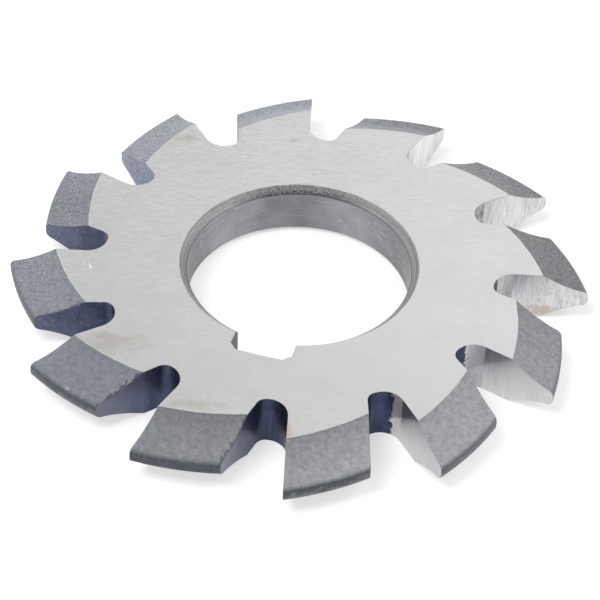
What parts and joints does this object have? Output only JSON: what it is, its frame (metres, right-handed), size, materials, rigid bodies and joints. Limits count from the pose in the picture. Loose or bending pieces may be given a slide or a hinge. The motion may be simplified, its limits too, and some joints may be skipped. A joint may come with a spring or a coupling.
{
  "type": "gear milling cutter",
  "caption": "Disc-shaped gear milling cutter with form-relieved involute teeth, radial cutting faces, rounded gullets, a chamfered bore and a keyway.",
  "frame": {"origin": "centre of the bore in the plane of the lower flat face", "axes": "+Z along the bore axis, -Y through the middle of the keyway"},
  "size_m": [0.0556, 0.0556, 0.0055],
  "materials": {
    "tool_steel": "ground flat faces and cutting faces, matte grey relieved flanks, blue-black heat-treated gullets"
  },
  "bodies": {
    "root": {"gear_cutter": "tool_steel"}
  },
  "joints": []
}
